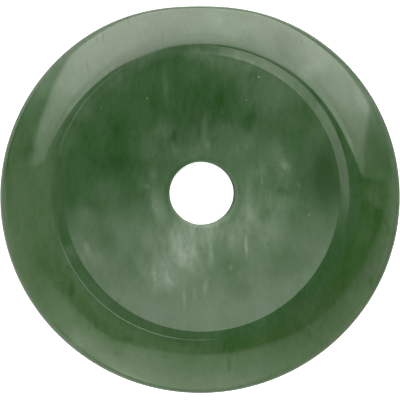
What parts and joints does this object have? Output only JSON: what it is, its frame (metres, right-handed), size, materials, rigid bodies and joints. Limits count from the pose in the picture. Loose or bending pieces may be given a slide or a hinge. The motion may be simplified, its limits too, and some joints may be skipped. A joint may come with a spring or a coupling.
{
  "type": "stone donut pendant",
  "caption": "Flat pierced disc of polished green stone, with a shallow dish and narrow ring on its front, a rounded outer slope and a round bore for a cord.",
  "frame": {"origin": "middle of the outline, on the surface that the flat back lies on", "axes": "+Z out of the carved front, along the bore; +Y towards the edge that hangs uppermost, which is ground a little flat"},
  "size_m": [0.05, 0.0484, 0.006],
  "materials": {
    "green_stone": "polished"
  },
  "bodies": {
    "root": {"stone_disc": "green_stone"}
  },
  "joints": []
}
